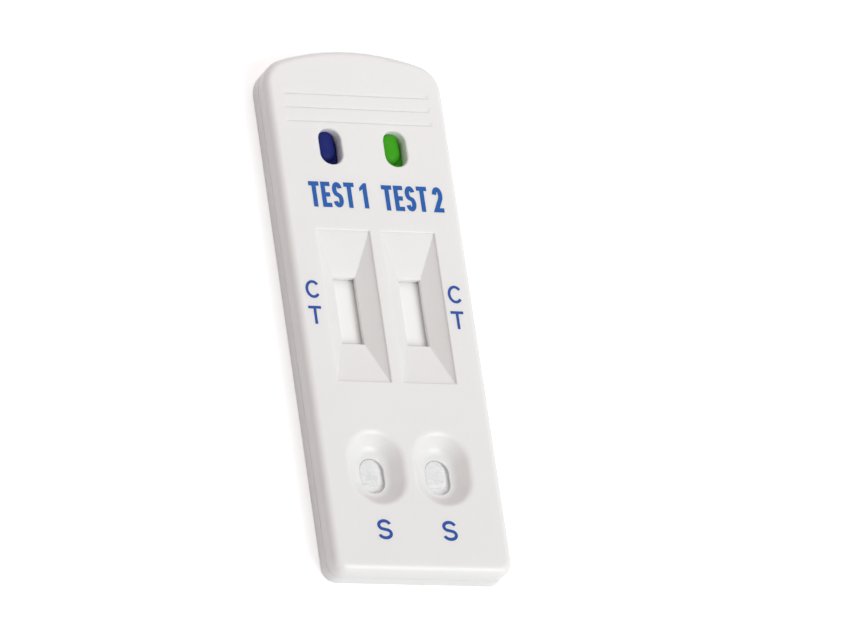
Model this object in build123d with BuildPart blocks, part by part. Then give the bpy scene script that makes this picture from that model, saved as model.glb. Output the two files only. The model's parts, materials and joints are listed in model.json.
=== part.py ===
from build123d import *
import math
import os

# Two-strip lateral flow cassette, in millimetres
# The origin is under the middle of the base, +Y runs to the rounded head and +Z is up

# Housing outline and heights
body_width = 28.0
body_length = 82.0
body_height = 5.0
head_radius = 35.0
head_corner_radius = 4.5
tail_corner_radius = 2.2
top_edge_radius = 1.2
bottom_edge_chamfer = 0.2
parting_height = 2.2
parting_chamfer = 0.08

# Housing walls
side_wall = 1.5
floor_thickness = 1.2
top_wall = 1.4

# Test strips
strip_spacing = 10.2
strip_width = 4.0
strip_length = 60.0
strip_middle_y = -0.5
card_thickness = 0.3
membrane_thickness = 0.15
membrane_length = 23.0
membrane_shift = 1.0
conjugate_thickness = 0.4
conjugate_length = 6.0
sample_pad_thickness = 0.6
absorbent_thickness = 1.05
tape_thickness = 0.1
tape_length = 10.0
membrane_overlap = 2.0
conjugate_overlap = 3.0
pad_ramp = 0.6

# Reading windows: a short lip, then a bevelled recess that narrows to a slot over the membrane
window_middle_y = 0.3
window_width = 8.3
window_length = 23.7
window_depth = 2.0
window_lip = 0.3
window_edge_radius = 0.2
window_skin = 1.2
slot_width = 3.5
slot_length = 10.5
membrane_clearance = 0.35

# Sample wells: a bowl with sloping walls, and a hole over the sample pad
well_from_tail = 5.5
well_width = 8.6
well_length = 11.3
well_depth = 2.2
well_taper = 42.0
well_floor_radius = 1.5
well_edge_radius = 1.2
well_hole_width = 3.8
well_hole_length = 5.4
well_hole_shift = 0.4
well_collar_wall = 0.25
well_collar_taper = 45.0

# Colour-code holes over the tapes
code_from_head = 4.1
code_width = 3.5
code_length = 5.7
code_edge_chamfer = 0.15
code_collar_wall = 0.9
tape_clearance = 0.05

# Grip grooves: the face rolls down towards the tail and steps back up, and the ends run out
grip_count = 3
grip_from_head = 7.25
grip_spacing = 2.17
grip_length = 23.2
grip_depth = 0.2
grip_roll = 1.0
grip_step = 0.3
grip_run_out = 0.8

# Strip channels in the tray
channel_side_clearance = 0.15
channel_end_clearance = 0.2
channel_wall = 0.8
channel_below_parting = 0.2
bed_height = 0.2
bed_bar_width = 1.2
bed_bar_count = 7
bed_bar_spacing = 9.0

# Hold-down bars in the upper shell
bar_width = 0.8
bar_clearance = 0.05

# Round pins in the upper shell that press into six-sided sockets in the tray
pin_diameter = 1.6
pin_depth = 1.3
pin_clearance = 0.05
pin_end_gap = 0.2
boss_across_flats = 3.0
pin_from_tail = 5.0
pin_from_head = 8.0
pin_from_window = 4.0

# Heights that follow from the stack of layers
ceiling_z = body_height - top_wall
card_z = floor_thickness + bed_height
card_top_z = card_z + card_thickness
membrane_top_z = card_top_z + membrane_thickness
sample_top_z = card_top_z + sample_pad_thickness
sample_lap_top_z = sample_top_z + conjugate_thickness
absorbent_top_z = card_top_z + absorbent_thickness
absorbent_lap_top_z = absorbent_top_z + membrane_thickness
tape_top_z = absorbent_top_z + tape_thickness
lip_z = body_height - window_lip
slot_top_z = body_height - window_depth
slot_bottom_z = membrane_top_z + membrane_clearance

# Places along the strip that follow from its layers
strip_tail_y = strip_middle_y - strip_length / 2
strip_head_y = strip_middle_y + strip_length / 2
membrane_middle_y = window_middle_y + membrane_shift
membrane_tail_y = membrane_middle_y - membrane_length / 2
membrane_head_y = membrane_middle_y + membrane_length / 2
conjugate_head_y = membrane_tail_y + membrane_overlap
conjugate_tail_y = conjugate_head_y - conjugate_length
sample_head_y = conjugate_tail_y + conjugate_overlap
absorbent_tail_y = membrane_head_y - membrane_overlap
well_y = strip_tail_y + well_from_tail
well_hole_y = well_y - well_hole_shift
code_y = strip_head_y - code_from_head

# Ends of the housing, axes of the strips and sizes of their channels
tail_y = -body_length / 2
head_y = body_length / 2
strip_axes = {"left": -strip_spacing / 2, "right": strip_spacing / 2}
channel_width = strip_width + 2 * channel_side_clearance
channel_length = strip_length + 2 * channel_end_clearance

# Places of the pins, midway between the channels and the side walls
channel_outside_x = strip_axes["right"] + channel_width / 2 + channel_wall
pin_column_x = (channel_outside_x + body_width / 2 - side_wall) / 2
pin_rows_y = (
    tail_y + pin_from_tail,
    window_middle_y - window_length / 2 - pin_from_window,
    window_middle_y + window_length / 2 + pin_from_window,
    head_y - pin_from_head,
)
pin_places = [(x, y) for x in (-pin_column_x, pin_column_x) for y in pin_rows_y]


# Plan of the housing: a straight tail and sides, and an arc over the head
shoulder_y = head_y - head_radius + math.sqrt(head_radius**2 - (body_width / 2) ** 2)
with BuildSketch() as outline:
    with BuildLine():
        Polyline(
            (-body_width / 2, shoulder_y),
            (-body_width / 2, tail_y),
            (body_width / 2, tail_y),
            (body_width / 2, shoulder_y),
        )
        ThreePointArc((body_width / 2, shoulder_y), (0, head_y), (-body_width / 2, shoulder_y))
    make_face()
    fillet(outline.vertices().group_by(Axis.Y)[0], tail_corner_radius)
    fillet(outline.vertices().group_by(Axis.Y)[-1], head_corner_radius)

# Plan of the hollow inside the side walls
with BuildSketch() as hollow:
    add(outline.sketch)
    offset(amount=-side_wall)


def bevel_profile(slot_size, window_size, low_z, high_z, drop):
    """Draw a side view of the bevelled recess between two heights, with the bevel lowered by a drop."""
    low = slot_size + (window_size - slot_size) * (low_z + drop - slot_top_z) / (lip_z - slot_top_z)
    high = slot_size + (window_size - slot_size) * (high_z + drop - slot_top_z) / (lip_z - slot_top_z)
    Polygon((-low / 2, low_z), (low / 2, low_z), (high / 2, high_z), (-high / 2, high_z), align=None)


def upright_slot(length, width):
    """Draw a round-ended slot that runs along the strip."""
    SlotOverall(length, width, rotation=90)


def hexagon(across_flats):
    """Draw a six-sided boss or socket with flats towards the side walls."""
    RegularPolygon(across_flats / 2, 6, major_radius=False, rotation=30)


def rim_edges(part, middle_y, length):
    """Edges where an opening breaks through the top face, found by its place along the strip."""
    top_face = part.faces().sort_by(Axis.Z)[-1]
    edges = ShapeList(edge for wire in top_face.inner_wires() for edge in wire.edges())
    return edges.filter_by_position(Axis.Y, middle_y - length / 2, middle_y + length / 2)


def pad_profile(far_y, step_y, lap_y, step, thickness):
    """Draw the side view of a pad that lies on the card and climbs onto a layer at one end."""
    ramp_y = step_y + math.copysign(pad_ramp, far_y - step_y)
    lap_z = card_top_z + step
    Polygon(
        (far_y, card_top_z),
        (step_y, card_top_z),
        (step_y, lap_z),
        (lap_y, lap_z),
        (lap_y, lap_z + thickness),
        (step_y, lap_z + thickness),
        (ramp_y, card_top_z + thickness),
        (far_y, card_top_z + thickness),
        align=None,
    )


def flat_profile(tail, head, bottom, thickness):
    """Draw the side view of a flat layer of the strip."""
    Polygon(
        (tail, bottom),
        (head, bottom),
        (head, bottom + thickness),
        (tail, bottom + thickness),
        align=None,
    )


def save(part, label):
    """Name a finished piece and write its file."""
    part.label = label
    export_step(part, f"parts/{label}.step")


# Bowl of a sample well, as the shape that is cut away
with BuildPart() as well_bowl:
    with BuildSketch(Plane.XY.offset(body_height)):
        upright_slot(well_length, well_width)
    extrude(amount=-well_depth, taper=well_taper)
    fillet(well_bowl.faces().sort_by(Axis.Z)[0].edges(), well_floor_radius)

# Bevelled recess of a reading window, as the shape that is cut away
with BuildPart() as window_recess:
    with BuildSketch(Plane.XZ):
        bevel_profile(slot_width, window_width, slot_top_z, lip_z, 0)
    extrude(amount=window_length, both=True)
    with BuildSketch(Plane.YZ):
        bevel_profile(slot_length, window_length, slot_top_z, lip_z, 0)
    extrude(amount=window_width, both=True, mode=Mode.INTERSECT)

# Skin that follows the recess inside the shell, down to just above the membrane
with BuildPart() as window_backing:
    with BuildSketch(Plane.XZ):
        bevel_profile(slot_width, window_width, slot_bottom_z, ceiling_z, window_skin)
    extrude(amount=window_length, both=True)
    with BuildSketch(Plane.YZ):
        bevel_profile(slot_length, window_length, slot_bottom_z, ceiling_z, window_skin)
    extrude(amount=window_width, both=True, mode=Mode.INTERSECT)

# Grip groove, as the shape that is cut away
with BuildPart() as grip_groove:
    with BuildSketch(Plane.YZ):
        with BuildLine():
            TangentArc((grip_roll, body_height), (0, body_height - grip_depth), tangent=(-1, 0))
            Polyline((0, body_height - grip_depth), (-grip_step, body_height), (grip_roll, body_height))
        make_face()
    extrude(amount=grip_length / 2, both=True)
    with BuildSketch(Plane.XZ):
        Polygon(
            (-grip_length / 2, body_height),
            (grip_run_out - grip_length / 2, body_height - grip_depth),
            (grip_length / 2 - grip_run_out, body_height - grip_depth),
            (grip_length / 2, body_height),
            align=None,
        )
    extrude(amount=grip_roll, both=True, mode=Mode.INTERSECT)

os.makedirs("parts", exist_ok=True)

# Upper shell
with BuildPart() as top_housing:
    with BuildSketch(Plane.XY.offset(parting_height)):
        add(outline.sketch)
    extrude(amount=body_height - parting_height)
    fillet(top_housing.faces().sort_by(Axis.Z)[-1].edges(), top_edge_radius)
    chamfer(top_housing.faces().sort_by(Axis.Z)[0].edges(), parting_chamfer)
    with BuildSketch(Plane.XY.offset(parting_height)):
        add(hollow.sketch)
    extrude(amount=ceiling_z - parting_height, mode=Mode.SUBTRACT)

    # Bosses with pins that press into the tray
    with BuildSketch(Plane.XY.offset(parting_height)):
        with Locations(*pin_places):
            hexagon(boss_across_flats)
    extrude(amount=ceiling_z - parting_height)
    with BuildSketch(Plane.XY.offset(ceiling_z)):
        with Locations(*pin_places):
            Circle(pin_diameter / 2)
    extrude(amount=parting_height - pin_depth - ceiling_z)

    for axis_x in strip_axes.values():
        # Skin under the window recess
        with Locations((axis_x, window_middle_y, 0)):
            add(window_backing.part)

        # Collar under the well, down to the sample pad
        with BuildSketch(Plane.XY.offset(ceiling_z)):
            with Locations((axis_x, well_y)):
                upright_slot(well_length + 2 * well_collar_wall, well_width + 2 * well_collar_wall)
        extrude(amount=sample_top_z - ceiling_z, taper=well_collar_taper)

        # Collar under the colour-code hole, down to the tape
        with BuildSketch(Plane.XY.offset(tape_top_z + tape_clearance)):
            with Locations((axis_x, code_y)):
                upright_slot(code_length + 2 * code_collar_wall, code_width + 2 * code_collar_wall)
        extrude(amount=ceiling_z - tape_top_z - tape_clearance)

        # Bars that hold the pads down where they overlap
        for bar_y, lap_top_z in (
            ((conjugate_tail_y + sample_head_y) / 2, sample_lap_top_z),
            ((absorbent_tail_y + membrane_head_y) / 2, absorbent_lap_top_z),
        ):
            with BuildSketch(Plane.XY.offset(lap_top_z + bar_clearance)):
                with Locations((axis_x, bar_y)):
                    Rectangle(strip_width, bar_width)
            extrude(amount=ceiling_z - lap_top_z - bar_clearance)

        # Lip, bevelled recess and slot of the window
        with BuildSketch(Plane.XY.offset(lip_z)):
            with Locations((axis_x, window_middle_y)):
                Rectangle(window_width, window_length)
        extrude(amount=window_lip, mode=Mode.SUBTRACT)
        with Locations((axis_x, window_middle_y, 0)):
            add(window_recess.part, mode=Mode.SUBTRACT)
        with BuildSketch(Plane.XY.offset(slot_bottom_z)):
            with Locations((axis_x, window_middle_y)):
                Rectangle(slot_width, slot_length)
        extrude(amount=slot_top_z - slot_bottom_z, mode=Mode.SUBTRACT)

        # Bowl of the well and its hole
        with Locations((axis_x, well_y, 0)):
            add(well_bowl.part, mode=Mode.SUBTRACT)
        with BuildSketch(Plane.XY.offset(sample_top_z)):
            with Locations((axis_x, well_hole_y)):
                upright_slot(well_hole_length, well_hole_width)
        extrude(amount=body_height - sample_top_z, mode=Mode.SUBTRACT)

        # Colour-code hole
        with BuildSketch(Plane.XY.offset(tape_top_z + tape_clearance)):
            with Locations((axis_x, code_y)):
                upright_slot(code_length, code_width)
        extrude(amount=body_height - tape_top_z - tape_clearance, mode=Mode.SUBTRACT)

    # Broken rims of the openings
    fillet(rim_edges(top_housing, window_middle_y, window_length), window_edge_radius)
    fillet(rim_edges(top_housing, well_y, well_length), well_edge_radius)
    chamfer(rim_edges(top_housing, code_y, code_length), code_edge_chamfer)

    # Grip grooves across the head
    with Locations(*[(0, head_y - grip_from_head - index * grip_spacing, 0) for index in range(grip_count)]):
        add(grip_groove.part, mode=Mode.SUBTRACT)
save(top_housing.part, "top_housing")

# Lower tray
with BuildPart() as bottom_housing:
    with BuildSketch():
        add(outline.sketch)
    extrude(amount=parting_height)
    chamfer(bottom_housing.faces().sort_by(Axis.Z)[0].edges(), bottom_edge_chamfer)
    chamfer(bottom_housing.faces().sort_by(Axis.Z)[-1].edges(), parting_chamfer)
    with BuildSketch(Plane.XY.offset(floor_thickness)):
        add(hollow.sketch)
    extrude(amount=parting_height - floor_thickness, mode=Mode.SUBTRACT)

    # Channel round each strip, with bars across its bed
    with BuildSketch(Plane.XY.offset(floor_thickness)):
        with Locations(*[(axis_x, strip_middle_y) for axis_x in strip_axes.values()]):
            Rectangle(channel_width + 2 * channel_wall, channel_length + 2 * channel_wall)
            Rectangle(channel_width, channel_length, mode=Mode.SUBTRACT)
    extrude(amount=parting_height - channel_below_parting - floor_thickness)
    with BuildSketch(Plane.XY.offset(floor_thickness)):
        with Locations((0, strip_middle_y)):
            with GridLocations(strip_spacing, bed_bar_spacing, len(strip_axes), bed_bar_count):
                Rectangle(channel_width, bed_bar_width)
    extrude(amount=bed_height)

    # Bosses with sockets for the pins
    with BuildSketch(Plane.XY.offset(floor_thickness)):
        with Locations(*pin_places):
            hexagon(boss_across_flats)
    extrude(amount=parting_height - floor_thickness)
    with BuildSketch(Plane.XY.offset(parting_height)):
        with Locations(*pin_places):
            hexagon(pin_diameter + 2 * pin_clearance)
    extrude(amount=-pin_depth - pin_end_gap, mode=Mode.SUBTRACT)
save(bottom_housing.part, "bottom_housing")

# Layers of the two strips
for side, axis_x in strip_axes.items():
    strip_plane = Plane.YZ.offset(axis_x)

    with BuildPart() as backing_card:
        with BuildSketch(strip_plane):
            flat_profile(strip_tail_y, strip_head_y, card_z, card_thickness)
        extrude(amount=strip_width / 2, both=True)
    save(backing_card.part, f"backing_card_{side}")

    with BuildPart() as membrane:
        with BuildSketch(strip_plane):
            flat_profile(membrane_tail_y, membrane_head_y, card_top_z, membrane_thickness)
        extrude(amount=strip_width / 2, both=True)
    save(membrane.part, f"membrane_{side}")

    with BuildPart() as conjugate_pad:
        with BuildSketch(strip_plane):
            pad_profile(conjugate_tail_y, membrane_tail_y, conjugate_head_y, membrane_thickness, conjugate_thickness)
        extrude(amount=strip_width / 2, both=True)
    save(conjugate_pad.part, f"conjugate_pad_{side}")

    with BuildPart() as sample_pad:
        with BuildSketch(strip_plane):
            pad_profile(strip_tail_y, conjugate_tail_y, sample_head_y, conjugate_thickness, sample_pad_thickness)
        extrude(amount=strip_width / 2, both=True)
    save(sample_pad.part, f"sample_pad_{side}")

    with BuildPart() as absorbent_pad:
        with BuildSketch(strip_plane):
            pad_profile(strip_head_y, membrane_head_y, absorbent_tail_y, membrane_thickness, absorbent_thickness)
        extrude(amount=strip_width / 2, both=True)
    save(absorbent_pad.part, f"absorbent_pad_{side}")

    with BuildPart() as colour_tape:
        with BuildSketch(strip_plane):
            flat_profile(strip_head_y - tape_length, strip_head_y, absorbent_top_z, tape_thickness)
        extrude(amount=strip_width / 2, both=True)
    save(colour_tape.part, f"colour_tape_{side}")
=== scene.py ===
"""Looks of a two-strip lateral flow cassette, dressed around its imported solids."""

import json
import logging
import math
import random
from dataclasses import dataclass, replace
from enum import Enum
from typing import Callable, Optional, Union

import bmesh
import bpy
from mathutils import Matrix, Vector, noise


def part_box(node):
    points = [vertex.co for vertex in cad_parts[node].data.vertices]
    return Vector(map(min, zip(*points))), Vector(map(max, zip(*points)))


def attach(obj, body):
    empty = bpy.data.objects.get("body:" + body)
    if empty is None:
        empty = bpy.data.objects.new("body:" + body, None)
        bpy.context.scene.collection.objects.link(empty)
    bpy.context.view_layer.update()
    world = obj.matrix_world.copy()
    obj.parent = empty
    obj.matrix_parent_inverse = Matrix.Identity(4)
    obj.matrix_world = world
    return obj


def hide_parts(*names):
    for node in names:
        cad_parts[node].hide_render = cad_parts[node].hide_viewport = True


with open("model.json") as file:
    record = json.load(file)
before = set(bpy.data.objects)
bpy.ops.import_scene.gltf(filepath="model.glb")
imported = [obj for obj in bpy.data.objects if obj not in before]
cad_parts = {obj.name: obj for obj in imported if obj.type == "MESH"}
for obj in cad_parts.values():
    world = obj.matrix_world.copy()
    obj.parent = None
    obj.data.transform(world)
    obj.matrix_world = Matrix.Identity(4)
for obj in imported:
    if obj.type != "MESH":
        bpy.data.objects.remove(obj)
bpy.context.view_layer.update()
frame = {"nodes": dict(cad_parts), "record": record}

MM = 0.001
BODY = "root"
LOG = logging.getLogger("cassette")

Colour = tuple[float, float, float]
Direction = tuple[float, float, float]
Point = tuple[float, float]
Value = Union[float, Colour, "Signal"]

WHITE: Colour = (1.0, 1.0, 1.0)
UP = Vector((0.0, 0.0, 1.0))


class Side(Enum):
    """The two strips of the cassette, seen from the sample end."""

    LEFT = "left"
    RIGHT = "right"

    def named(self, thing: str) -> str:
        """Name of a solid, a piece or a finish on this side."""
        return f"{thing}_{self.value}"


class Slot(Enum):
    """Names of the record's material slots, which the new pieces carry but are not given; the pads' solids
    are named after them.
    """

    CONJUGATE_PAD = "conjugate_pad"
    SAMPLE_PAD = "sample_pad"
    ABSORBENT_PAD = "absorbent_pad"
    TAPE_BLUE = "tape_blue"
    TAPE_GREEN = "tape_green"


class Detail(Enum):
    """Octaves of finer noise that a grain carries."""

    SMOOTH = 1.0
    PLAIN = 2.0
    RICH = 3.0


class Signal:
    """One output of a shader tree, so that shader maths reads as Python."""

    def __init__(self, graph: "ShaderGraph", socket: bpy.types.NodeSocket) -> None:
        """Keep the tree and the socket that the value comes from."""
        self.graph = graph
        self.socket = socket

    def _maths(self, operation: str, first: Value, second: Value) -> "Signal":
        """Add one Math node for an operator."""
        return self.graph.node("ShaderNodeMath", {"operation": operation}, {0: first, 1: second})

    def __add__(self, other: Value) -> "Signal":
        """Sum of two values."""
        return self._maths("ADD", self, other)

    def __radd__(self, other: Value) -> "Signal":
        """Sum with a number on the left."""
        return self._maths("ADD", other, self)

    def __sub__(self, other: Value) -> "Signal":
        """Difference of two values."""
        return self._maths("SUBTRACT", self, other)

    def __rsub__(self, other: Value) -> "Signal":
        """Difference with a number on the left."""
        return self._maths("SUBTRACT", other, self)

    def __mul__(self, other: Value) -> "Signal":
        """Product of two values."""
        return self._maths("MULTIPLY", self, other)

    def __rmul__(self, other: Value) -> "Signal":
        """Product with a number on the left."""
        return self._maths("MULTIPLY", other, self)

    def at_least(self, other: Value) -> "Signal":
        """The larger of two values."""
        return self._maths("MAXIMUM", self, other)


class ShaderGraph:
    """A node tree that is written as expressions."""

    # A Mix node repeats its socket names, so its colour sockets go by place
    MIX_SHARE, MIX_FIRST, MIX_SECOND, MIX_RESULT = 0, 6, 7, 2

    def __init__(self, tree: bpy.types.NodeTree) -> None:
        """Start from an empty tree.

        Args:
            tree: The tree of a material or of the world.
        """
        self.tree = tree
        self.tree.nodes.clear()

    def node(
        self,
        kind: str,
        settings: Optional[dict] = None,
        inputs: Optional[dict] = None,
        output: Union[str, int] = 0,
    ) -> Signal:
        """Add one node.

        Args:
            kind: Blender's name for the node's type.
            settings: Properties that are set first.
            inputs: Values or signals for the sockets, by name or place.
            output: The socket that is returned, by name or place.

        Returns:
            The chosen output.
        """
        made = self.tree.nodes.new(kind)
        for key, value in (settings or {}).items():
            setattr(made, key, value)
        for key, value in (inputs or {}).items():
            socket = made.inputs[key]
            if isinstance(value, Signal):
                self.tree.links.new(value.socket, socket)
            elif socket.type == "RGBA":
                socket.default_value = (*value, 1.0)
            else:
                socket.default_value = value
        return Signal(self, made.outputs[output])

    def place(self, stretch: Direction = (1.0, 1.0, 1.0)) -> Signal:
        """Object coordinates in metres, stretched along each axis.

        Args:
            stretch: Factor along X, Y and Z.

        Returns:
            The stretched coordinates.
        """
        plain = self.node("ShaderNodeTexCoord", output="Object")
        return self.node("ShaderNodeVectorMath", {"operation": "MULTIPLY"}, {0: plain, 1: stretch})

    def grain(self, size: float, place: Signal, detail: Detail = Detail.PLAIN) -> Signal:
        """Noise from 0 to 1.

        Args:
            size: Width of one blotch, in metres.
            place: Coordinates.
            detail: How much finer noise it carries.

        Returns:
            The noise value.
        """
        inputs = {"Vector": place, "Scale": 1.0 / size, "Detail": detail.value}
        return self.node("ShaderNodeTexNoise", None, inputs)

    def blend(self, share: Value, first: Value, second: Value) -> Signal:
        """Mix two colours.

        Args:
            share: 0 gives the first colour and 1 the second.
            first: A colour.
            second: Another colour.

        Returns:
            The mixed colour.
        """
        inputs = {self.MIX_SHARE: share, self.MIX_FIRST: first, self.MIX_SECOND: second}
        return self.node("ShaderNodeMix", {"data_type": "RGBA"}, inputs, self.MIX_RESULT)

    def bump(self, height: Signal, depth: float, strength: float) -> Signal:
        """Turn a height into a surface normal.

        Args:
            height: Height from 0 to 1.
            depth: Depth of the relief, in metres.
            strength: Share of the relief that shows.

        Returns:
            The normal.
        """
        return self.node("ShaderNodeBump", None, {"Height": height, "Distance": depth, "Strength": strength})

    def skin(self, colour: Signal, roughness: Signal, normal: Signal, constants: dict) -> Signal:
        """Draw an opaque surface.

        Args:
            colour: Its colour.
            roughness: Its roughness.
            normal: Its normal.
            constants: Even values for other sockets of the shader, by name.

        Returns:
            The shader.
        """
        varied = {"Base Color": colour, "Roughness": roughness, "Normal": normal}
        return self.node("ShaderNodeBsdfPrincipled", None, varied | constants)

    def choose(self, share: Signal, first: Signal, second: Signal) -> Signal:
        """Mix two shaders.

        Args:
            share: 0 gives the first shader and 1 the second.
            first: A shader.
            second: Another shader.

        Returns:
            The mixed shader.
        """
        return self.node("ShaderNodeMixShader", None, {0: share, 1: first, 2: second})

    def show(self, kind: str, shader: Signal) -> None:
        """Join a shader to the tree's output.

        Args:
            kind: Type of the output node.
            shader: What the tree shows.
        """
        made = self.tree.nodes.new(kind)
        self.tree.links.new(shader.socket, made.inputs["Surface"])


def surface(name: str, draw: Callable[[ShaderGraph], Signal]) -> bpy.types.Material:
    """Make a material from a function that draws its shader.

    Args:
        name: Name of the material.
        draw: Function that adds the nodes and returns the shader.

    Returns:
        The material.
    """
    material = bpy.data.materials.new(name)
    material.use_nodes = True
    graph = ShaderGraph(material.node_tree)
    graph.show("ShaderNodeOutputMaterial", draw(graph))
    return material


@dataclass(frozen=True)
class MouldedPlastic:
    """White injection-moulded polystyrene: satin, faintly clouded, with a soft orange peel."""

    name: str = "white_moulded_plastic"
    pale: Colour = (0.86, 0.855, 0.845)
    deep: Colour = (0.83, 0.82, 0.81)
    cloud_size: float = 9.0 * MM
    peel_size: float = 1.3 * MM
    peel_share: float = 0.7
    grain_size: float = 0.16 * MM
    grain_share: float = 0.3
    relief: float = 0.012 * MM
    relief_strength: float = 0.5
    roughness: float = 0.26
    roughness_spread: float = 0.14
    refraction: float = 1.5
    glow_share: float = 0.5
    glow_depth: float = 0.9 * MM
    glow_tint: Colour = (1.0, 0.95, 0.9)

    def shader(self, graph: ShaderGraph) -> Signal:
        """Draw the plastic.

        Args:
            graph: Tree of the material.

        Returns:
            The shader.
        """
        place = graph.place()
        cloud = graph.grain(self.cloud_size, place, Detail.RICH)
        peel = graph.grain(self.peel_size, place, Detail.SMOOTH)
        fine = graph.grain(self.grain_size, place)
        relief = peel * self.peel_share + fine * self.grain_share
        constants = {
            "IOR": self.refraction,
            "Subsurface Weight": self.glow_share,
            "Subsurface Radius": self.glow_tint,
            "Subsurface Scale": self.glow_depth,
        }
        return graph.skin(
            graph.blend(cloud, self.pale, self.deep),
            self.roughness + fine * self.roughness_spread,
            graph.bump(relief, self.relief, self.relief_strength),
            constants,
        )


@dataclass(frozen=True)
class FibreMat:
    """Dry pad of short matted fibres that lie mostly across the strip."""

    name: str
    pale: Colour
    # deep is the painted shade colour that fills the gaps between the fibres
    deep: Colour
    fibre_size: float = 0.09 * MM
    fibre_stretch: float = 0.16
    across_share: float = 0.6
    along_share: float = 0.25
    blotch_size: float = 0.8 * MM
    blotch_share: float = 0.15
    relief: float = 0.03 * MM
    relief_strength: float = 0.8
    roughness: float = 0.85
    roughness_spread: float = 0.12
    gloss: float = 0.2

    def shader(self, graph: ShaderGraph) -> Signal:
        """Draw the matted fibres, with the deep colour painted as shade in the gaps between them.

        Args:
            graph: Tree of the material.

        Returns:
            The shader.
        """
        across = graph.grain(self.fibre_size, graph.place((self.fibre_stretch, 1.0, 1.0)), Detail.RICH)
        along = graph.grain(self.fibre_size, graph.place((1.0, self.fibre_stretch, 1.0)), Detail.RICH)
        blotch = graph.grain(self.blotch_size, graph.place())
        weave = across * self.across_share + along * self.along_share + blotch * self.blotch_share
        # painted shade: the deep colour goes where the weave is low, in the gaps between the fibres
        painted_gap_shade = 1.0 - weave
        return graph.skin(
            graph.blend(painted_gap_shade, self.pale, self.deep),
            self.roughness + blotch * self.roughness_spread,
            graph.bump(weave, self.relief, self.relief_strength),
            {"Specular IOR Level": self.gloss},
        )


@dataclass(frozen=True)
class PorousFilm:
    """Matt membrane with fine pores."""

    name: str = "porous_membrane"
    pale: Colour = (0.955, 0.95, 0.945)
    deep: Colour = (0.925, 0.92, 0.91)
    pore_size: float = 0.05 * MM
    pore_share: float = 0.5
    streak_size: float = 0.5 * MM
    streak_stretch: float = 0.12
    streak_share: float = 0.5
    relief: float = 0.006 * MM
    relief_strength: float = 0.6
    roughness: float = 0.78
    roughness_spread: float = 0.15
    gloss: float = 0.25

    def shader(self, graph: ShaderGraph) -> Signal:
        """Draw the pores and the faint streaks of the casting.

        Args:
            graph: Tree of the material.

        Returns:
            The shader.
        """
        pores = graph.grain(self.pore_size, graph.place())
        streaks = graph.grain(self.streak_size, graph.place((1.0, self.streak_stretch, 1.0)))
        tone = pores * self.pore_share + streaks * self.streak_share
        return graph.skin(
            graph.blend(tone, self.deep, self.pale),
            self.roughness + pores * self.roughness_spread,
            graph.bump(pores, self.relief, self.relief_strength),
            {"Specular IOR Level": self.gloss},
        )


@dataclass(frozen=True)
class ColourFilm:
    """Thin plastic film with an even colour, a faint mottle and a brushed grain."""

    name: str
    pale: Colour
    deep: Colour
    mottle_size: float = 0.6 * MM
    mottle_share: float = 0.7
    grain_size: float = 0.06 * MM
    grain_stretch: float = 0.1
    grain_share: float = 0.3
    relief: float = 0.004 * MM
    relief_strength: float = 0.5
    roughness: float = 0.42
    roughness_spread: float = 0.16
    gloss: float = 0.12

    def shader(self, graph: ShaderGraph) -> Signal:
        """Draw the film.

        Args:
            graph: Tree of the material.

        Returns:
            The shader.
        """
        mottle = graph.grain(self.mottle_size, graph.place(), Detail.RICH)
        grain = graph.grain(self.grain_size, graph.place((1.0, self.grain_stretch, 1.0)))
        tone = mottle * self.mottle_share + grain * self.grain_share
        return graph.skin(
            graph.blend(tone, self.deep, self.pale),
            self.roughness + grain * self.roughness_spread,
            graph.bump(grain, self.relief, self.relief_strength),
            {"Specular IOR Level": self.gloss},
        )


@dataclass(frozen=True)
class PrintedInk:
    """Pad-printed ink: nearly even, with a faint stipple where the pad lifted."""

    name: str
    pale: Colour
    deep: Colour
    stipple_size: float = 0.12 * MM
    relief: float = 0.004 * MM
    relief_strength: float = 0.4
    roughness: float = 0.4
    roughness_spread: float = 0.15
    gloss: float = 0.3

    def shader(self, graph: ShaderGraph) -> Signal:
        """Draw the ink.

        Args:
            graph: Tree of the material.

        Returns:
            The shader.
        """
        stipple = graph.grain(self.stipple_size, graph.place(), Detail.RICH)
        return graph.skin(
            graph.blend(stipple, self.deep, self.pale),
            self.roughness + stipple * self.roughness_spread,
            graph.bump(stipple, self.relief, self.relief_strength),
            {"Specular IOR Level": self.gloss},
        )


@dataclass(frozen=True)
class StudioFloor:
    """Pale floor that looks white to the camera and still takes the object's shadow."""

    name: str = "studio_floor"
    colour: Colour = (0.78, 0.78, 0.78)
    glow: float = 0.5

    def shader(self, graph: ShaderGraph) -> Signal:
        """Draw the floor.

        Args:
            graph: Tree of the material.

        Returns:
            The shader.
        """
        matt = graph.node("ShaderNodeBsdfDiffuse", None, {"Color": self.colour})
        glow = graph.node("ShaderNodeEmission", None, {"Color": WHITE, "Strength": self.glow})
        both = graph.node("ShaderNodeAddShader", None, {0: matt, 1: glow})
        return graph.choose(seen_directly(graph), matt, both)


def seen_directly(graph: ShaderGraph) -> Signal:
    """1 where the camera sees a surface, by itself or in a gloss or a glass.

    Args:
        graph: Tree of the material or of the world.

    Returns:
        The mask.
    """
    camera = graph.node("ShaderNodeLightPath", output="Is Camera Ray")
    gloss = graph.node("ShaderNodeLightPath", output="Is Glossy Ray")
    glass = graph.node("ShaderNodeLightPath", output="Is Transmission Ray")
    return camera.at_least(gloss).at_least(glass)


def dress(piece: bpy.types.Object, finish: bpy.types.Material) -> None:
    """Give a piece one finish all over.

    Args:
        piece: A mesh object.
        finish: The material.
    """
    piece.data.materials.clear()
    piece.data.materials.append(finish)


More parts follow.
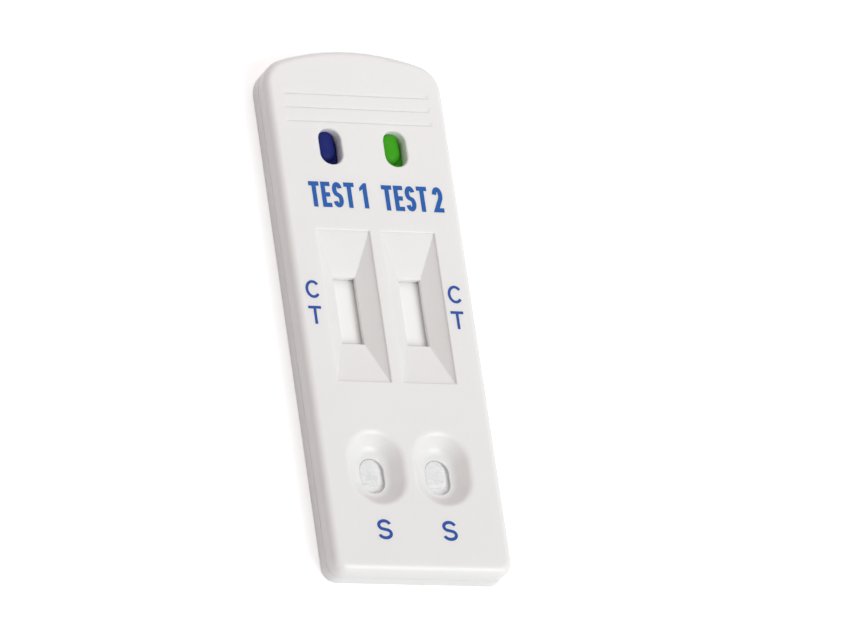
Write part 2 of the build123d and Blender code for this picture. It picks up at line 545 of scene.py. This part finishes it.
def carry(
    name: str, mesh: bpy.types.Mesh, finish: bpy.types.Material
) -> bpy.types.Object:
    """Put a new piece on the cassette.

    Args:
        name: Name of the piece.
        mesh: Its mesh, in place.
        finish: Its material.

    Returns:
        The piece.
    """
    piece = bpy.data.objects.new(name, mesh)
    bpy.context.scene.collection.objects.link(piece)
    dress(piece, finish)
    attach(piece, BODY)
    LOG.info("piece %s: %d faces", name, len(mesh.polygons))
    return piece


def mesh_from(name: str, form: bmesh.types.BMesh, smooth: bool) -> bpy.types.Mesh:
    """Turn a bmesh into a mesh with outward faces.

    Args:
        name: Name of the mesh.
        form: The bmesh, which is freed.
        smooth: Whether faces are shaded smoothly.

    Returns:
        The mesh.
    """
    bmesh.ops.recalc_face_normals(form, faces=form.faces[:])
    for face in form.faces:
        face.smooth = smooth
    mesh = bpy.data.meshes.new(name)
    form.to_mesh(mesh)
    form.free()
    return mesh


@dataclass
class Housing:
    """The two moulded shells, which keep their own solids."""

    plastic: MouldedPlastic = MouldedPlastic()
    shells: tuple[str, str] = ("top_housing", "bottom_housing")

    def build(self) -> None:
        """Dress both shells in one plastic."""
        finish = surface(self.plastic.name, self.plastic.shader)
        for shell in self.shells:
            dress(frame["nodes"][shell], finish)
            LOG.info("dressed %s", shell)


@dataclass(frozen=True)
class PadProfile:
    """Side view of a pad that lies on the card and climbs onto a layer at one end, in metres."""

    far_y: float
    step_y: float
    lap_y: float
    base_z: float
    step: float
    thickness: float
    ramp: float = 0.6 * MM

    def climb(self, y: float, start: float) -> float:
        """Share of the step that is climbed at a place along the strip.

        Args:
            y: Place along the strip.
            start: How far before the step the climb starts.

        Returns:
            0 on the card, 1 on the layer, and between them on the ramp.
        """
        towards = math.copysign(1.0, self.lap_y - self.far_y)
        return min(1.0, max(0.0, 1.0 + (y - self.step_y) * towards / start))

    def top(self, y: float) -> float:
        """Height of the pad's upper face."""
        return self.base_z + self.thickness + self.step * self.climb(y, self.ramp)

    def bottom(self, y: float, cell: float) -> float:
        """Height of the pad's lower face, which steps up within one cell of the mesh."""
        return self.base_z + self.step * self.climb(y, cell)


@dataclass(frozen=True)
class Crease:
    """A fold across a pad, in metres from the middle of the well's hole."""

    along: float
    depth: float
    width: float
    slant: float = 0.0

    def drop(self, x: float, y: float) -> float:
        """Depth of the fold at a place.

        Args:
            x: Place across the strip, from its axis.
            y: Place along the strip, from the middle of the hole.

        Returns:
            The depth.
        """
        off = (y - self.along - self.slant * x) / self.width
        return self.depth * math.exp(-off * off)


@dataclass(frozen=True)
class Bulge:
    """Pillow that a soft layer makes where it presses up into a slot-shaped hole, in metres."""

    half_width: float
    half_length: float
    height: float
    edge: float
    crown: float
    lean: Point
    middle_y: float = 0.0
    creases: tuple[Crease, ...] = ()

    def depth(self, x: float, y: float) -> float:
        """Distance inside the rim of the hole.

        Args:
            x: Place across the strip, from its axis.
            y: Place along the strip.

        Returns:
            The distance, which is negative outside the hole.
        """
        straight = self.half_length - self.half_width
        past = max(0.0, abs(y - self.middle_y) - straight)
        return self.half_width - math.hypot(x, past)

    def rise(self, x: float, y: float) -> float:
        """Height of the pillow, which is pressed to one side of the hole.

        Args:
            x: Place across the strip, from its axis.
            y: Place along the strip.

        Returns:
            The height, with the folds taken off, and 0 outside the hole.
        """
        depth = self.depth(x - self.lean[0], y - self.lean[1])
        if depth <= 0.0 or self.depth(x, y) <= 0.0:
            return 0.0
        edge = 1.0 - min(1.0, depth / self.edge)
        height = self.height * math.sqrt(1.0 - edge * edge) + self.crown * depth / self.half_width
        return max(0.0, height - sum(crease.drop(x, y - self.middle_y) for crease in self.creases))


def axis_of(node: str) -> float:
    """X of the axis of the strip that a solid lies on.

    Args:
        node: Name of the solid.

    Returns:
        The middle of its width.
    """
    low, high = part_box(node)
    return (low.x + high.x) / 2


def grid_over(node: str, cell: float) -> tuple[list[float], list[float]]:
    """Even places for a mesh over a solid.

    Args:
        node: Name of the solid.
        cell: Size of one cell, which is rounded to fit.

    Returns:
        The places across the strip and those along it.
    """
    low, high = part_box(node)
    columns = round((high.x - low.x) / cell)
    rows = round((high.y - low.y) / cell)
    across = [low.x + (high.x - low.x) * column / columns for column in range(columns + 1)]
    along = [low.y + (high.y - low.y) * row / rows for row in range(rows + 1)]
    return across, along


def closed_sheet(tops: list[list[Vector]], bottoms: list[list[Vector]]) -> bmesh.types.BMesh:
    """Join an upper and a lower grid of points, with the same number of rows, into one closed form.

    Args:
        tops: Rows of points of the upper face.
        bottoms: Rows of points of the lower face.

    Returns:
        The form.
    """
    form = bmesh.new()
    upper = [[form.verts.new(point) for point in line] for line in tops]
    lower = [[form.verts.new(point) for point in line] for line in bottoms]
    for grid in (upper, lower):
        for near, far in zip(grid, grid[1:]):
            for column in range(len(near) - 1):
                form.faces.new((near[column], near[column + 1], far[column + 1], far[column]))
    for column in (0, -1):
        for near in range(len(upper) - 1):
            far = near + 1
            form.faces.new((upper[near][column], upper[far][column], lower[far][column], lower[near][column]))
    for row in (0, -1):
        form.faces.new((*upper[row], *reversed(lower[row])))
    return form


def waves(x: float, y: float, size: Point, seed: float) -> float:
    """Noise from -1 to 1, whose waves have one length across the strip and another along it."""
    return noise.noise(Vector((x / size[0], y / size[1], seed)))


@dataclass
class Pad:
    """One fibrous pad of a strip, as a crowned and matted mesh in place of its plain solid."""

    node: str
    profile: PadProfile
    finish: FibreMat
    slot: Slot
    seed: float
    bulge: Optional[Bulge] = None
    fill: float = 0.4
    cell: float = 0.08 * MM
    ridge_height: float = 0.045 * MM
    ridge_size: Point = (3.0 * MM, 0.34 * MM)
    matt_height: float = 0.02 * MM
    matt_size: Point = (0.4 * MM, 0.16 * MM)
    matt_seed_shift: float = 7.0

    def relief(self, x: float, y: float) -> float:
        """Height of the fibres above the plain face.

        Args:
            x: Place across the strip, from its axis.
            y: Place along the strip.

        Returns:
            The height, which swells inside the well's hole and is under the plain face elsewhere.
        """
        ridges = waves(x, y, self.ridge_size, self.seed)
        matt = waves(x, y, self.matt_size, self.seed + self.matt_seed_shift)
        rough = self.ridge_height * (ridges - 1.0) + self.matt_height * (matt - 1.0)
        return rough + (self.bulge.rise(x, y) if self.bulge else 0.0)

    def mesh(self) -> bpy.types.Mesh:
        """Build the closed mesh.

        Returns:
            The mesh, in place.
        """
        across, along = grid_over(self.node, self.cell)
        axis = axis_of(self.node)
        sides = (across[0], across[-1])
        tops = [
            [Vector((x, y, self.profile.top(y) + self.relief(x - axis, y))) for x in across] for y in along
        ]
        bottoms = [[Vector((x, y, self.profile.bottom(y, self.cell))) for x in sides] for y in along]
        return mesh_from(self.node, closed_sheet(tops, bottoms), smooth=True)

    def build(self) -> bpy.types.Object:
        """Put the pad in place of its solid.

        Returns:
            The pad.
        """
        finish = surface(self.finish.name, self.finish.shader)
        piece = carry(f"{self.node}_matt", self.mesh(), finish)
        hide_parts(self.node)
        return piece


@dataclass
class Tape:
    """Colour tape that the pad under it presses up into the colour-code hole."""

    node: str
    finish: ColourFilm
    slot: Slot
    bulge: Bulge
    cell: float = 0.1 * MM

    def mesh(self) -> bpy.types.Mesh:
        """Build the film with its pillow.

        Returns:
            The mesh, in place.
        """
        low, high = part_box(self.node)
        across, along = grid_over(self.node, self.cell)
        axis = axis_of(self.node)
        lift = {(x, y): self.bulge.rise(x - axis, y) for x in across for y in along}
        tops = [[Vector((x, y, high.z + lift[x, y])) for x in across] for y in along]
        bottoms = [[Vector((x, y, low.z + lift[x, y])) for x in across] for y in along]
        return mesh_from(self.node, closed_sheet(tops, bottoms), smooth=True)

    def build(self) -> bpy.types.Object:
        """Put the film in place of its solid.

        Returns:
            The film.
        """
        finish = surface(self.finish.name, self.finish.shader)
        piece = carry(f"{self.node}_film", self.mesh(), finish)
        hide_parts(self.node)
        return piece


@dataclass
class LooseFibres:
    """Stray fibres that lie on the swollen pad in the hole of a well."""

    pad: Pad
    count: int = 90
    radius: float = 0.014 * MM
    shortest: float = 0.7 * MM
    longest: float = 2.6 * MM
    heading_spread: float = 38.0
    bend_limit: float = 50.0
    lift_in_radii: Point = (0.2, 1.6)
    sides: int = 5
    runs: int = 9

    def ring(self, form: bmesh.types.BMesh, centre: Vector, angle: float) -> list[bmesh.types.BMVert]:
        """Set one ring of points around a fibre.

        Args:
            form: The mesh that the fibre joins.
            centre: Middle of the ring.
            angle: Heading of the fibre there, from the X axis.

        Returns:
            The points.
        """
        side = Vector((-math.sin(angle), math.cos(angle), 0.0))
        turns = [math.tau * place / self.sides for place in range(self.sides)]
        spokes = [side * math.cos(turn) + UP * math.sin(turn) for turn in turns]
        return [form.verts.new(centre + spoke * self.radius) for spoke in spokes]

    def join(self, form: bmesh.types.BMesh, rings: list[list[bmesh.types.BMVert]]) -> None:
        """Close the rings of one fibre into a tube, or take a single ring away.

        Args:
            form: The mesh that the fibre joins.
            rings: Its rings, from end to end.
        """
        for ring, following in zip(rings, rings[1:]):
            for place in range(self.sides):
                after = (place + 1) % self.sides
                form.faces.new((ring[place], ring[after], following[after], following[place]))
        if len(rings) > 1:
            form.faces.new(rings[0])
            form.faces.new(rings[-1])
        elif rings:
            bmesh.ops.delete(form, geom=rings[0], context="VERTS")

    def strand(self, form: bmesh.types.BMesh, draw: random.Random, axis: float) -> None:
        """Lay one fibre, as far as the rim of the hole.

        Args:
            form: The mesh that the fibre joins.
            draw: Source of its place and bend.
            axis: X of the strip's axis.
        """
        pad, hole = self.pad, self.pad.bulge
        x = draw.uniform(-hole.half_width, hole.half_width)
        y = hole.middle_y + draw.uniform(-hole.half_length, hole.half_length)
        heading = math.radians(draw.gauss(0.0, self.heading_spread))
        bend = math.radians(draw.uniform(-self.bend_limit, self.bend_limit))
        length = draw.uniform(self.shortest, self.longest)
        lift = draw.uniform(*self.lift_in_radii) * self.radius
        rings = []
        for index in range(self.runs + 1):
            if hole.depth(x, y) < 2 * self.radius:
                break
            angle = heading + bend * index / self.runs
            centre = Vector((axis + x, y, pad.profile.top(y) + pad.relief(x, y) + lift))
            rings.append(self.ring(form, centre, angle))
            x += math.cos(angle) * length / self.runs
            y += math.sin(angle) * length / self.runs
        self.join(form, rings)

    def build(self) -> bpy.types.Object:
        """Lay all the fibres of one well.

        Returns:
            The fibres, as one piece.
        """
        axis = axis_of(self.pad.node)
        draw = random.Random(self.pad.node)
        form = bmesh.new()
        for _ in range(self.count):
            self.strand(form, draw, axis)
        name = f"{self.pad.node}_fibres"
        finish = surface(f"{name}_finish", self.pad.finish.shader)
        return carry(name, mesh_from(name, form, smooth=True), finish)


@dataclass
class Strip:
    """One test strip: card, membrane, three pads and a colour tape."""

    side: Side
    tape: ColourFilm
    tape_slot: Slot
    seed: float
    creases: tuple[Crease, ...]
    card: ColourFilm = ColourFilm("backing_card", (0.88, 0.88, 0.87), (0.85, 0.85, 0.84), roughness=0.35)
    membrane: PorousFilm = PorousFilm()
    # each pad's deep colour is painted shade for the gaps between its fibres
    cellulose: FibreMat = FibreMat("cellulose", (0.93, 0.93, 0.93), (0.74, 0.74, 0.75))
    glass_fibre: FibreMat = FibreMat("dyed_glass_fibre", (0.66, 0.42, 0.46), (0.50, 0.28, 0.33))
    blotter: FibreMat = FibreMat("blotter", (0.91, 0.91, 0.89), (0.80, 0.80, 0.77))
    hole_shift: float = 0.4 * MM
    pillow: Bulge = Bulge(
        half_width=1.87 * MM,
        half_length=2.67 * MM,
        height=0.48 * MM,
        edge=0.75 * MM,
        crown=0.16 * MM,
        lean=(-0.46 * MM, 0.36 * MM),
    )
    dome: Bulge = Bulge(
        half_width=1.7 * MM,
        half_length=2.8 * MM,
        height=1.0 * MM,
        edge=1.4 * MM,
        crown=0.12 * MM,
        lean=(-0.2 * MM, 1.15 * MM),
        middle_y=25.4 * MM,
    )

    def span(self, layer: str) -> tuple[Vector, Vector]:
        """Lowest and highest corner of one layer's solid."""
        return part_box(self.side.named(layer))

    def own(self, finish: FibreMat) -> FibreMat:
        """A pad's finish under a name for this side."""
        return replace(finish, name=self.side.named(finish.name))

    def well_y(self) -> float:
        """Place of the well's hole, a little nearer the sample end than the well's opening.

        Returns:
            Y of the middle of the hole.
        """
        openings = {opening["name"]: opening["box_m"] for opening in frame["record"]["physics"]["openings"]}
        low, high = openings[self.side.named("sample_well")]
        return (low[1] + high[1]) / 2 - self.hole_shift

    def pads(self) -> list[Pad]:
        """Work out the three pads from the solids of the strip.

        Returns:
            The sample pad, the conjugate pad and the absorbent pad.
        """
        card_top = self.span("backing_card")[1].z
        membrane_low, membrane_high = self.span("membrane")
        conjugate_low, conjugate_high = self.span("conjugate_pad")
        sample_low, sample_high = self.span("sample_pad")
        absorbent_low, absorbent_high = self.span("absorbent_pad")
        film = membrane_high.z - card_top
        conjugate_thickness = conjugate_high.z - membrane_high.z
        sample_profile = PadProfile(
            far_y=sample_low.y,
            step_y=conjugate_low.y,
            lap_y=sample_high.y,
            base_z=card_top,
            step=conjugate_thickness,
            thickness=sample_high.z - card_top - conjugate_thickness,
        )
        conjugate_profile = PadProfile(
            far_y=conjugate_low.y,
            step_y=membrane_low.y,
            lap_y=conjugate_high.y,
            base_z=card_top,
            step=film,
            thickness=conjugate_thickness,
        )
        absorbent_profile = PadProfile(
            far_y=absorbent_high.y,
            step_y=membrane_high.y,
            lap_y=absorbent_low.y,
            base_z=card_top,
            step=film,
            thickness=absorbent_high.z - membrane_high.z,
        )
        pillow = replace(self.pillow, middle_y=self.well_y(), creases=self.creases)
        layers = (
            (Slot.SAMPLE_PAD, sample_profile, self.cellulose, pillow),
            (Slot.CONJUGATE_PAD, conjugate_profile, self.glass_fibre, None),
            (Slot.ABSORBENT_PAD, absorbent_profile, self.blotter, None),
        )
        return [
            Pad(self.side.named(slot.value), profile, self.own(finish), slot, self.seed + index, bulge)
            for index, (slot, profile, finish, bulge) in enumerate(layers)
        ]

    def build(self) -> None:
        """Dress the films and put the pads and the tape in place of their solids."""
        for layer, film in {"backing_card": self.card, "membrane": self.membrane}.items():
            node = self.side.named(layer)
            dress(frame["nodes"][node], surface(self.side.named(film.name), film.shader))
            LOG.info("dressed %s", node)
        pads = self.pads()
        for pad in pads:
            pad.build()
        LooseFibres(pads[0]).build()
        Tape(self.side.named("colour_tape"), self.tape, self.tape_slot, self.dome).build()


def arc(centre: Point, radii: Point, start: float, end: float, steps: int) -> list[Point]:
    """Points along part of an ellipse.

    Args:
        centre: Its middle.
        radii: Half its width and half its height.
        start: First angle, in degrees.
        end: Last angle, in degrees.
        steps: Number of runs.

    Returns:
        The points.
    """
    angles = [math.radians(start + (end - start) * step / steps) for step in range(steps + 1)]
    return [(centre[0] + radii[0] * math.cos(a), centre[1] + radii[1] * math.sin(a)) for a in angles]


def ribbon(spine: list[Point], width: float, sharpest: float = 0.3) -> list[Point]:
    """Outline of a stroke of even width along a line of points, with mitred corners.

    Args:
        spine: Points along the middle of the stroke.
        width: Width of the stroke.
        sharpest: Cosine of half the turn at which a mitre stops growing.

    Returns:
        The closed outline.
    """
    points = [Vector(point) for point in spine]
    runs = [(after - before).normalized() for before, after in zip(points, points[1:])]
    left, right = [], []
    for index, point in enumerate(points):
        before = runs[max(0, index - 1)]
        after = runs[min(index, len(runs) - 1)]
        heading = (before + after).normalized()
        across = Vector((-heading.y, heading.x)) * (width / 2 / max(sharpest, heading.dot(after)))
        left.append(tuple(point + across))
        right.append(tuple(point - across))
    return left + right[::-1]


@dataclass(frozen=True)
class Capitals:
    """Plain upright capitals and figures, drawn from strokes, in millimetres."""

    height: float
    stroke: float
    width: float

    def letter_c(self) -> list[Point]:
        """A round C with open right side.

        Returns:
            The outline.
        """
        middle = (self.width / 2, self.height / 2)
        radii = ((self.width - self.stroke) / 2, (self.height - self.stroke) / 2)
        mouth = 38.0
        return ribbon(arc(middle, radii, mouth, 360.0 - mouth, steps=30), self.stroke)

    def letter_t(self) -> list[Point]:
        """A bar on a stem.

        Returns:
            The outline.
        """
        left, right = self.width / 2 - self.stroke / 2, self.width / 2 + self.stroke / 2
        under = self.height - self.stroke
        stem = [(left, under), (left, 0.0), (right, 0.0), (right, under)]
        return [(0.0, self.height), (0.0, under), *stem, (self.width, under), (self.width, self.height)]

    def letter_e(self) -> list[Point]:
        """A stem with three arms, the middle one shorter.

        Returns:
            The outline.
        """
        stroke, height = self.stroke, self.height
        arm = 0.9 * self.width
        short = 0.92 * arm
        low, high = height / 2 - stroke / 2, height / 2 + stroke / 2
        lower = [(0.0, 0.0), (arm, 0.0), (arm, stroke), (stroke, stroke)]
        middle = [(stroke, low), (short, low), (short, high), (stroke, high)]
        upper = [(stroke, height - stroke), (arm, height - stroke), (arm, height), (0.0, height)]
        return lower + middle + upper

    def letter_s(self) -> list[Point]:
        """Two open bowls joined by a slanted stroke.

        Returns:
            The outline.
        """
        lower_reach, rise = (self.width - self.stroke) / 2, (self.height - self.stroke) / 4
        upper_reach = 0.94 * lower_reach
        mouth, join = 14.0, 56.0
        middle_x, middle_y = self.width / 2, self.height / 2
        upper = arc((middle_x, middle_y + rise), (upper_reach, rise), mouth, 180.0 + join, steps=22)
        lower = arc((middle_x, middle_y - rise), (lower_reach, rise), join, mouth - 180.0, steps=22)
        return ribbon(upper + lower, self.stroke)

    def figure_1(self) -> list[Point]:
        """A stem with a short flag.

        Returns:
            The outline.
        """
        stroke, height = self.stroke, self.height
        left = 0.75 * stroke
        right, shoulder = left + stroke, left + 0.3 * stroke
        flag = height - 1.15 * stroke
        tip, crook = flag - 0.85 * stroke, flag - 0.25 * stroke
        stem = [(left, 0.0), (right, 0.0), (right, height), (shoulder, height)]
        return [*stem, (0.0, flag), (0.0, tip), (left, crook)]

    def figure_2(self) -> list[Point]:
        """An arch, a slanted stroke and a foot.

        Returns:
            The outline.
        """
        half = self.stroke / 2
        radii = ((self.width - self.stroke) / 2, self.height / 4)
        middle = (self.width / 2, self.height - half - radii[1])
        hook, waist = 172.0, -30.0
        arch = arc(middle, radii, hook, waist, steps=20)
        foot = [(1.25 * half, half), (self.width, half)]
        return ribbon(arch + foot, self.stroke)


def moved(outline: list[Point], left: float, foot: float) -> list[Point]:
    """Shift an outline so that its lower left corner stands at a place."""
    return [(x + left, y + foot) for x, y in outline]


@dataclass(frozen=True)
class Layout:
    """Left end and foot of each mark of one strip, in millimetres on the top face."""

    heading: Point
    control: Point
    test: Point
    well: Point


@dataclass
class Marking:
    """Blue print on the top face: a heading over each window and marks for the lines and the wells."""

    heading: Capitals = Capitals(height=4.0, stroke=0.68, width=1.62)
    control: Capitals = Capitals(height=2.8, stroke=0.43, width=2.3)
    test: Capitals = Capitals(height=2.8, stroke=0.43, width=2.0)
    well: Capitals = Capitals(height=3.1, stroke=0.48, width=2.3)
    left: Layout = Layout(
        heading=(-9.55, 15.68), control=(-12.33, 1.22), test=(-12.33, -2.82), well=(-6.55, -36.1)
    )
    right: Layout = Layout(
        heading=(1.85, 15.48), control=(9.93, 1.12), test=(9.93, -2.92), well=(3.56, -36.1)
    )
    heading_ink: PrintedInk = PrintedInk("heading_ink", (0.010, 0.115, 0.43), (0.006, 0.09, 0.37))
    mark_ink: PrintedInk = PrintedInk("mark_ink", (0.022, 0.085, 0.40), (0.015, 0.065, 0.33))
    letter_gap: float = 0.27
    word_gap: float = 0.8
    proud: float = 0.012
    sunk: float = 0.01

    def stamp(self, name: str, outlines: list[list[Point]], finish: bpy.types.Material) -> None:
        """Raise flat outlines into one thin print on the top face.

        Args:
            name: Name of the piece.
            outlines: Closed outlines, in millimetres on the top face.
            finish: The ink.
        """
        face_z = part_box("top_housing")[1].z / MM
        floor, roof = face_z - self.sunk, face_z + self.proud
        form = bmesh.new()
        for outline in outlines:
            base = [form.verts.new(Vector((x, y, floor)) * MM) for x, y in outline]
            cap = [form.verts.new(Vector((x, y, roof)) * MM) for x, y in outline]
            form.faces.new(base)
            form.faces.new(cap)
            for index in range(len(outline)):
                after = (index + 1) % len(outline)
                form.faces.new((base[index], base[after], cap[after], cap[index]))
        form.normal_update()
        bmesh.ops.triangulate(form, faces=[face for face in form.faces if len(face.verts) > 4])
        carry(name, mesh_from(name, form, smooth=False), finish)

    def word(self, figure: list[Point], left: float, foot: float) -> list[list[Point]]:
        """Set the heading: a plain word and a figure.

        Args:
            figure: Outline of the figure.
            left: Left end of the word.
            foot: Its base line.

        Returns:
            The outlines, in place.
        """
        face = self.heading
        placed, cursor = [], left
        for outline in (face.letter_t(), face.letter_e(), face.letter_s(), face.letter_t()):
            placed.append(moved(outline, cursor, foot))
            cursor += max(x for x, _ in outline) + self.letter_gap
        placed.append(moved(figure, cursor - self.letter_gap + self.word_gap, foot))
        return placed

    def build(self) -> None:
        """Print every mark."""
        heading = surface(self.heading_ink.name, self.heading_ink.shader)
        marks = surface(self.mark_ink.name, self.mark_ink.shader)
        layouts = {Side.LEFT: self.left, Side.RIGHT: self.right}
        figures = {Side.LEFT: self.heading.figure_1(), Side.RIGHT: self.heading.figure_2()}
        for side, layout in layouts.items():
            self.stamp(side.named("heading"), self.word(figures[side], *layout.heading), heading)
        for side, layout in layouts.items():
            control = moved(self.control.letter_c(), *layout.control)
            test = moved(self.test.letter_t(), *layout.test)
            self.stamp(side.named("line_marks"), [control, test], marks)
        for side, layout in layouts.items():
            self.stamp(side.named("well_mark"), [moved(self.well.letter_s(), *layout.well)], marks)


@dataclass(frozen=True)
class Softbox:
    """A square soft light that points at the cassette."""

    name: str
    towards: Direction
    power: float
    colour: Colour = WHITE
    size: float = 0.5
    distance: float = 0.8

    def build(self) -> None:
        """Hang the light."""
        lamp = bpy.data.lights.new(self.name, "AREA")
        lamp.energy = self.power
        lamp.color = self.colour
        lamp.size = self.size
        light = bpy.data.objects.new(self.name, lamp)
        bpy.context.scene.collection.objects.link(light)
        away = Vector(self.towards).normalized()
        light.location = away * self.distance
        light.rotation_euler = away.to_track_quat("Z", "Y").to_euler()


@dataclass
class Studio:
    """Camera, floor and soft light."""

    azimuth: float = -46.64
    elevation: float = 56.43
    roll: float = 43.34
    distance: float = 1.5649
    lens: float = 458.8
    aim_right: float = 7.576 * MM
    aim_up: float = 0.312 * MM
    floor_size: float = 6.0
    floor_drop: float = 0.02 * MM
    ambient: float = 0.434
    ambient_colour: Colour = (1.075, 0.975, 0.965)
    lights: tuple[Softbox, ...] = (
        Softbox("key", (0.38, -0.55, 0.743), 3.5, (0.935, 1.01, 1.015)),
        Softbox("head_fill", (0.2, 0.65, 0.73), 0.073, size=0.15, distance=0.2),
        Softbox("front_fill", (0.1, -0.93, 0.35), 0.33, (0.93, 1.0, 1.07)),
    )

    def shoot(self) -> None:
        """Set the camera at the photograph's angle."""
        turn, tilt = math.radians(self.azimuth), math.radians(self.elevation)
        back = Vector((math.sin(turn) * math.cos(tilt), -math.cos(turn) * math.cos(tilt), math.sin(tilt)))
        level = UP.cross(back).normalized()
        rise = back.cross(level)
        lean = math.radians(self.roll)
        right = level * math.cos(lean) + rise * math.sin(lean)
        up = back.cross(right)
        camera = bpy.data.objects.new("camera", bpy.data.cameras.new("camera"))
        bpy.context.scene.collection.objects.link(camera)
        camera.data.sensor_fit = "HORIZONTAL"
        camera.data.lens = self.lens
        turned = Matrix((right, up, back)).transposed().to_4x4()
        place = back * self.distance + right * self.aim_right + up * self.aim_up
        camera.matrix_world = Matrix.Translation(place) @ turned
        bpy.context.scene.camera = camera

    def lay_floor(self) -> None:
        """Lay the floor just under the cassette."""
        form = bmesh.new()
        bmesh.ops.create_grid(form, x_segments=1, y_segments=1, size=self.floor_size / 2)
        bmesh.ops.translate(form, verts=form.verts[:], vec=(0, 0, -self.floor_drop))
        floor = bpy.data.objects.new("floor", mesh_from("floor", form, smooth=False))
        bpy.context.scene.collection.objects.link(floor)
        finish = StudioFloor()
        dress(floor, surface(finish.name, finish.shader))

    def light(self) -> None:
        """Hang the soft lights in an even pale room that looks white to the camera."""
        for light in self.lights:
            light.build()
        room = bpy.data.worlds.new("room")
        room.use_nodes = True
        bpy.context.scene.world = room
        graph = ShaderGraph(room.node_tree)
        walls = graph.node(
            "ShaderNodeBackground", None, {"Color": self.ambient_colour, "Strength": self.ambient}
        )
        white = graph.node("ShaderNodeBackground", None, {"Color": WHITE, "Strength": 1.0})
        graph.show("ShaderNodeOutputWorld", graph.choose(seen_directly(graph), walls, white))

    def build(self) -> None:
        """Set up the whole studio."""
        bpy.context.scene.view_settings.view_transform = "Standard"
        self.shoot()
        self.lay_floor()
        self.light()


def main() -> None:
    """Build the cassette's looks and the studio around it."""
    logging.basicConfig(level=logging.INFO, format="%(name)s: %(message)s")
    navy = ColourFilm("navy_tape", (0.013, 0.021, 0.165), (0.010, 0.016, 0.135))
    green = ColourFilm("green_tape", (0.055, 0.385, 0.012), (0.042, 0.33, 0.010))
    left_creases = (
        Crease(along=0.75 * MM, depth=0.05 * MM, width=0.09 * MM),
        Crease(along=-1.0 * MM, depth=0.06 * MM, width=0.1 * MM, slant=0.1),
    )
    right_creases = (
        Crease(along=0.9 * MM, depth=0.05 * MM, width=0.09 * MM),
        Crease(along=-1.45 * MM, depth=0.2 * MM, width=0.12 * MM, slant=0.05),
        Crease(along=-2.35 * MM, depth=0.45 * MM, width=0.5 * MM, slant=0.05),
    )
    Housing().build()
    Strip(Side.LEFT, navy, Slot.TAPE_BLUE, seed=3.0, creases=left_creases).build()
    Strip(Side.RIGHT, green, Slot.TAPE_GREEN, seed=11.0, creases=right_creases).build()
    Marking().build()
    Studio().build()


if __name__ == "__main__":
    main()
